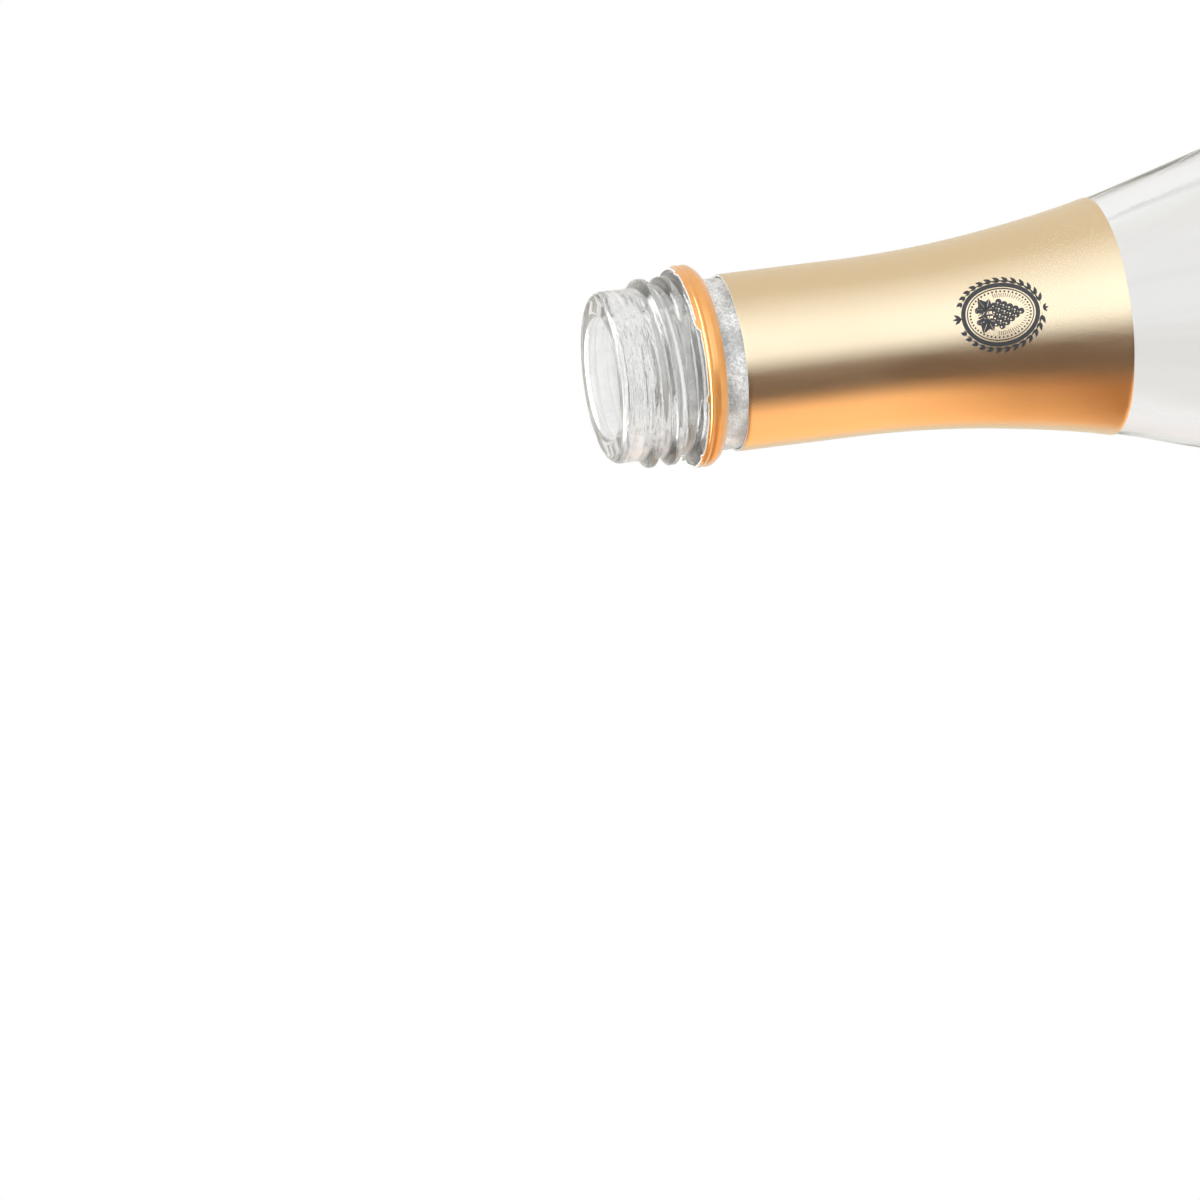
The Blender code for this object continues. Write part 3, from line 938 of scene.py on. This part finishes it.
def make_glass():
    """Flint glass: clear, with the fine orange-peel of a mould, and misted and wet where the wine ran."""
    s = Shader("clear_glass", roughness=0.0, ior=1.5)
    height = s.node("ShaderNodeSeparateXYZ", {0: s.place}).outputs["Z"]
    drops = s.spread(s.noise(2600, 3.0, rough=0.7), 0.5, 1.55)
    drifts = s.spread(s.noise(210, 3.0), 0.2, 1.8)
    neck = s.spread(height, 0.0, 1.0, FOIL_TOP - MIST_REACH, FOIL_TOP - MIST_REACH / 2)
    wet = s.spread(height, neck, 0.0, NECK_TOP, NECK_TOP + 0.001)
    s.join(s.tint(wet, CLEAR_TINT, WET_TINT, 0.0, 1.0), "Base Color")
    share = s.spread(neck, 0.0, NECK_MIST, 0.0, 1.0)
    share = s.spread(height, share, MOUTH_MIST, NECK_TOP, NECK_TOP + 0.001)
    mist = s.maths("MULTIPLY", s.maths("MULTIPLY", drops, drifts), share)
    s.join(s.maths("SUBTRACT", 1.0, mist), "Transmission Weight")
    coarse = s.bump(s.noise(300, 2.0), 0.00002, 0.3)
    turned = s.spread(height, 0.02, 0.9, NECK_TOP, THREAD_BOTTOM)
    lines = s.bump(s.noise(150, 3.0, stretch=(1, 1, 9)), 0.00007, turned, under=coarse)
    fine = s.bump(s.noise(2300, 3.0), 0.000006, 0.3, under=lines)
    s.join(fine, "Normal")
    return s.material


def make_wine():
    """Pale wine that gathers colour with depth."""
    s = Shader("pale_wine", base_color=(1, 1, 1, 1), roughness=0.0, ior=1.34)
    s.surface.inputs["Transmission Weight"].default_value = 1.0
    soak = s.node("ShaderNodeVolumeAbsorption", {"Color": (0.921, 0.49, 0.0, 1), "Density": 8.0})
    s.tree.links.new(soak.outputs[0], s.output.inputs["Volume"])
    s.join(s.bump(s.noise(260, 1.0), 0.00003, 0.3), "Normal")
    return s.material


def make_gold():
    """Satin gold print: fine grain, faint cloudiness and long soft rub marks."""
    s = Shader("satin_gold", metallic=1.0)
    clouds = s.noise(70, 3.0, stretch=(1, 1, 0.5))
    s.join(s.tint(clouds, (0.85, 0.66, 0.44), (0.87, 0.68, 0.46)), "Base Color")
    grain = s.noise(5200, 2.0)
    rubs = s.noise(900, 2.0, stretch=(1, 1, 0.12))
    s.join(s.spread(rubs, 0.23, 0.26), "Roughness")
    fine = s.bump(grain, 0.00001, 0.35)
    s.join(s.bump(clouds, 0.0003, 0.03, under=fine), "Normal")
    return s.material


def make_lining():
    """Back of the sleeve: pale lacquer, seen only through the glass."""
    s = Shader("sleeve_lining", roughness=0.5)
    s.join(s.tint(s.noise(240, 3.0), (0.90, 0.90, 0.88), (0.94, 0.94, 0.92)), "Base Color")
    s.join(s.bump(s.noise(1500, 2.0), 0.00002, 0.4), "Normal")
    return s.material


def make_ink(name, low, high, metallic=0.0, roughness=0.45):
    """Printing ink with a faint mottle."""
    s = Shader(name, metallic=metallic)
    s.join(s.tint(s.noise(1800, 2.0), low, high), "Base Color")
    s.join(s.spread(s.noise(3000, 2.0), roughness - 0.06, roughness + 0.06), "Roughness")
    s.join(s.bump(s.noise(6000, 2.0), 0.000008, 0.4), "Normal")
    return s.material


def make_band():
    """Lacquered aluminium, warm orange gold, scuffed where the cap tore away."""
    s = Shader("gold_band", metallic=0.5)
    mottle = s.noise(500, 3.0)
    s.join(s.tint(mottle, (0.84, 0.38, 0.10), (0.88, 0.42, 0.12)), "Base Color")
    scuffs = s.noise(1300, 4.0, stretch=(1, 1, 3))
    s.join(s.spread(scuffs, 0.14, 0.24), "Roughness")
    s.surface.inputs["Coat Weight"].default_value = 0.8
    s.surface.inputs["Coat Roughness"].default_value = 0.05
    s.join(s.bump(scuffs, 0.000006, 0.4), "Normal")
    return s.material


def make_primer():
    """Pale primer on the band's torn edge and inner face."""
    s = Shader("pale_primer", metallic=0.25)
    brushed = s.noise(1100, 3.0, stretch=(1, 1, 4))
    s.join(s.tint(brushed, (0.90, 0.89, 0.86), (0.95, 0.94, 0.92)), "Base Color")
    s.join(s.spread(brushed, 0.30, 0.40), "Roughness")
    s.join(s.bump(brushed, 0.000005, 0.4), "Normal")
    return s.material


def make_paper():
    """Uncoated cream paper with fibres and a faint felt mark."""
    s = Shader("label_paper", roughness=0.75)
    fibres = s.noise(900, 5.0, stretch=(1, 1, 0.35), rough=0.65)
    s.join(s.tint(fibres, (0.80, 0.77, 0.69), (0.88, 0.85, 0.78)), "Base Color")
    felt = s.bump(s.noise(420, 2.0), 0.00006, 0.4)
    s.join(s.bump(fibres, 0.00004, 0.5, under=felt), "Normal")
    return s.material


# Studio


def build_floor():
    """A wide pale floor that keeps the bottle's shadow and runs out into the white background."""
    s = Shader("studio_floor", roughness=0.9)
    s.join(s.tint(s.noise(3.0, 2.0), (0.93, 0.93, 0.93), (0.95, 0.95, 0.95)), "Base Color")
    s.surface.inputs["Specular IOR Level"].default_value = 0.0
    # Far off, the floor glows instead of taking light: plain white to the camera, and to rays through the
    # glass a glowing grey, brighter further out and crossed by painted streaks of light
    length = s.node("ShaderNodeVectorMath", {0: s.place}, operation="LENGTH").outputs["Value"]
    far = s.spread(length, 0.0, 1.0, 0.16, 0.55)
    white = s.node("ShaderNodeEmission", {"Color": WHITE, "Strength": 1.0})
    painted_light_streaks = s.spread(s.noise(5.0, 3.0, stretch=(9, 1, 1)), -0.25, 0.25)
    reach = s.spread(length, 0.0, 1.0, 0.85, 1.15)
    reach = s.maths("ADD", reach, painted_light_streaks)
    grey = s.tint(reach, NEAR_FLOOR, FAR_FLOOR, 0.0, 1.0)
    grey = s.node("ShaderNodeEmission", {"Color": grey, "Strength": 1.0})
    through = s.node("ShaderNodeLightPath").outputs["Is Transmission Ray"]
    open_end = s.node("ShaderNodeMixShader", {0: through, 1: white.outputs[0], 2: grey.outputs[0]})
    blend = s.node("ShaderNodeMixShader", {0: far, 1: s.surface.outputs[0], 2: open_end.outputs[0]})
    s.tree.links.new(blend.outputs[0], s.output.inputs["Surface"])
    turn = np.linspace(0, math.tau, 96, endpoint=False)
    rings = np.array((0.05, 0.2, 0.6, 2.0, 9.0))
    grid = placed(rings[:, None], turn[None, :], 0 * rings[:, None])
    rows, cols = grid.shape[:2]
    verts = grid.reshape(-1, 3).tolist() + [(0.0, 0.0, 0.0)]
    faces = [(rows * cols, c, (c + 1) % cols) for c in range(cols)]
    for r in range(rows - 1):
        for c in range(cols):
            n = (c + 1) % cols
            faces.append((r * cols + c, (r + 1) * cols + c, (r + 1) * cols + n, r * cols + n))
    floor = add_piece("studio_floor", verts, faces, [s.material])
    floor.visible_glossy = False
    return floor


# Soft boxes that metal sees, each one plain colour: a pale room all round, a white window at the front
# right, a dark flag beside the window, and beyond the flag a copper card, bright low down and dim above.
ROOM = (0.80, 0.78, 0.70)
WINDOW = (1.30, 1.45, 1.60)
FLAG = (0.15, 0.10, 0.07)
COPPER_CARD = (1.50, 0.90, 0.45)
DIM_CARD = (0.40, 0.16, 0.04)
GROUND = (0.85, 0.80, 0.75)

# Where one goes over into the next, as the height of a direction of length 1
GROUND_EDGE = (-0.44, -0.35)
CARD_FADE = (-0.28, 0.05)
SKY_START = 0.62
SKY_END = 0.68


def soft_boxes(card):
    """The boxes round the bottle, as (azimuth in degrees, colour), with a card of one colour."""
    return (
        (-180, ROOM),
        (-160, ROOM),
        (-140, card),
        (-85, card),
        (-60, FLAG),
        (-30, FLAG),
        (-5, WINDOW),
        (25, WINDOW),
        (80, ROOM),
        (180, ROOM),
    )


# What is seen through glass: a pale backdrop with three narrow flags, as (azimuth in degrees, colour)
PALE = (1.10, 1.10, 1.10)
SIDE_FLAG = (0.42, 0.50, 0.45)
FRONT_FLAG = (0.45, 0.45, 0.45)
BACK_FLAG = (0.45, 0.47, 0.45)
BACKDROP = (
    (-180, PALE),
    (-75, PALE),
    (-69, SIDE_FLAG),
    (-42, SIDE_FLAG),
    (-36, PALE),
    (18, PALE),
    (22, FRONT_FLAG),
    (28, FRONT_FLAG),
    (32, PALE),
    (107, PALE),
    (111, BACK_FLAG),
    (119, BACK_FLAG),
    (123, PALE),
    (180, PALE),
)
WHITE = (1, 1, 1, 1)
BRIGHTEST = 2.0  # level of the colour ramps' full white
DIFFUSE_LEVEL = 0.80
BEHIND_GLASS_LEVEL = 1.0  # the plain level, for diffuse surfaces lit through the glass
SKY_LEVEL = 9.0  # the ceiling light, which only gloss sees
# Colours of the floor's glow that only rays through the glass see
NEAR_FLOOR = (0.83, 0.82, 0.81)  # the floor as clear glass shows it, 0.85 m away
FAR_FLOOR = (0.94, 0.94, 0.94)  # and from 1.15 m


def build_world():
    """White for the camera, a backdrop with flags for what is seen through glass, soft boxes for gloss."""
    world = bpy.data.worlds.new("studio")
    world.use_nodes = True
    world.cycles.sampling_method = "NONE"  # so that each kind of ray gets its own light alone
    tree = world.node_tree
    tree.nodes.clear()

    def node(kind, links=None, **settings):
        return add_node(tree, kind, links, **settings)

    def maths(operation, first, second):
        return node("ShaderNodeMath", {0: first, 1: second}, operation=operation).outputs[0]

    way = node("ShaderNodeTexCoord").outputs["Generated"]
    split = node("ShaderNodeSeparateXYZ", {0: way})
    front = maths("MULTIPLY", split.outputs["Y"], -1.0)
    turn = maths("ARCTAN2", split.outputs["X"], front)
    share = node("ShaderNodeMapRange", {"Value": turn, "From Min": -math.pi, "From Max": math.pi}).outputs[0]

    def ramp(stops, brightest=1.0):
        made = node("ShaderNodeValToRGB", {"Fac": share})
        elements = made.color_ramp.elements
        for azimuth, colour in stops:
            position = (azimuth + 180) / 360
            spot = {0.0: elements[0], 1.0: elements[-1]}.get(position) or elements.new(position)
            spot.color = (*(c / brightest for c in colour), 1.0)
        return made.outputs["Color"]

    def rise(under, over, start, end):
        """Goes from one colour to another with the height of the direction."""
        links = {"Value": split.outputs["Z"], "From Min": start, "From Max": end}
        factor = node("ShaderNodeMapRange", links, interpolation_type="SMOOTHSTEP").outputs[0]
        return node("ShaderNodeMix", {"Factor": factor, 6: under, 7: over}, data_type="RGBA").outputs[2]

    def light(colour, strength):
        return node("ShaderNodeBackground", {"Color": colour, "Strength": strength}).outputs[0]

    def switch(factor, off, on):
        return node("ShaderNodeMixShader", {0: factor, 1: off, 2: on}).outputs[0]

    ground = (*(c / BRIGHTEST for c in GROUND), 1.0)
    glow = rise(ground, ramp(soft_boxes(COPPER_CARD), BRIGHTEST), *GROUND_EDGE)
    glow = rise(glow, ramp(soft_boxes(DIM_CARD), BRIGHTEST), *CARD_FADE)
    rays = node("ShaderNodeLightPath").outputs
    scattered = maths("GREATER_THAN", rays["Diffuse Depth"], 0.5)
    backdrop = light(ramp(BACKDROP, BRIGHTEST), BRIGHTEST)
    through = switch(scattered, backdrop, light(WHITE, BEHIND_GLASS_LEVEL))
    links = {"Value": split.outputs["Z"], "From Min": SKY_START, "From Max": SKY_END}
    above = node("ShaderNodeMapRange", links).outputs[0]
    gloss = switch(above, light(glow, BRIGHTEST), light(WHITE, SKY_LEVEL))
    made = switch(rays["Is Glossy Ray"], light(WHITE, DIFFUSE_LEVEL), gloss)
    made = switch(rays["Is Transmission Ray"], made, through)
    made = switch(rays["Is Camera Ray"], made, light(WHITE, 1.0))
    node("ShaderNodeOutputWorld", {"Surface": made})
    bpy.context.scene.world = world


def build_lamps():
    """A large softbox high at the front right, and a smaller fill at the left."""
    for name, azimuth, height, distance, size, power in (
        ("key", 32, 1.5, 1.6, 1.3, 17.0),
        ("fill", -65, 0.8, 1.7, 1.0, 4.0),
    ):
        data = bpy.data.lights.new(name, "AREA")
        data.shape = "SQUARE"
        data.size = size
        data.energy = power
        lamp = bpy.data.objects.new(name, data)
        spot = aim(math.radians(azimuth)) * distance + Vector((0, 0, height))
        lamp.location = spot
        lamp.rotation_euler = (Vector((0, 0, 0.15)) - spot).to_track_quat("-Z", "Y").to_euler()
        lamp.visible_camera = False
        lamp.visible_glossy = False
        lamp.visible_transmission = False
        bpy.context.scene.collection.objects.link(lamp)


def build_camera():
    """Places the camera so that the lip's middle and the bottle's axis fall where the picture has them."""
    axis = Vector(
        (
            math.cos(AXIS_TILT) * math.cos(AXIS_ROLL),
            -math.cos(AXIS_TILT) * math.sin(AXIS_ROLL),
            math.sin(AXIS_TILT),
        )
    )
    half = PICTURE_PIXELS / 2
    across = (LIP_PIXEL[0] - half) / FOCAL_PIXELS
    down = (LIP_PIXEL[1] - half) / FOCAL_PIXELS
    lip = Vector((across, down, 1.0)) * LIP_DISTANCE
    towards = -lip.normalized()
    facing = (towards - axis * towards.dot(axis)).normalized()
    upwards = axis.cross(facing)
    if upwards.y > 0:
        upwards = -upwards
    front = facing * math.cos(FRONT_TURN) + upwards * math.sin(FRONT_TURN)
    rows = Matrix(((-front).cross(-axis), -front, -axis))
    base = lip + axis * BOTTLE_HEIGHT
    place = rows @ -base
    sides = [rows @ Vector(v) for v in ((1, 0, 0), (0, -1, 0), (0, 0, -1))]
    data = bpy.data.cameras.new("camera")
    data.sensor_width = 36.0
    data.lens = data.sensor_width * FOCAL_PIXELS / PICTURE_PIXELS
    data.clip_end = 50.0
    camera = bpy.data.objects.new("camera", data)
    camera.matrix_world = Matrix.Translation(place) @ Matrix(sides).transposed().to_4x4()
    bpy.context.scene.collection.objects.link(camera)
    bpy.context.scene.camera = camera


def main():
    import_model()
    scene = bpy.context.scene
    scene.view_settings.view_transform = "Standard"
    for limit in ("max_bounces", "transmission_bounces", "glossy_bounces", "diffuse_bounces"):
        setattr(scene.cycles, limit, LIGHT_BOUNCES)
    build_camera()
    build_world()
    build_lamps()
    build_floor()
    charcoal = make_ink("charcoal_ink", (0.022, 0.022, 0.024), (0.034, 0.034, 0.036))
    leaf_gold = make_ink("gold_ink", (0.55, 0.36, 0.13), (0.66, 0.45, 0.18), 0.85, 0.32)
    paper = make_paper()
    build_glass(make_glass())
    build_wine(make_wine())
    build_foil(make_gold(), make_lining(), charcoal)
    build_band(make_band(), make_primer())
    inks = (leaf_gold, charcoal)
    build_label("front_label_sheet", "front_label", FRONT_LABEL_WIDTH, 0.0, paper, inks, draw_front)
    build_label("back_label_sheet", "back_label", BACK_LABEL_WIDTH, math.pi, paper, inks, draw_back)
    bpy.context.view_layer.update()


main()
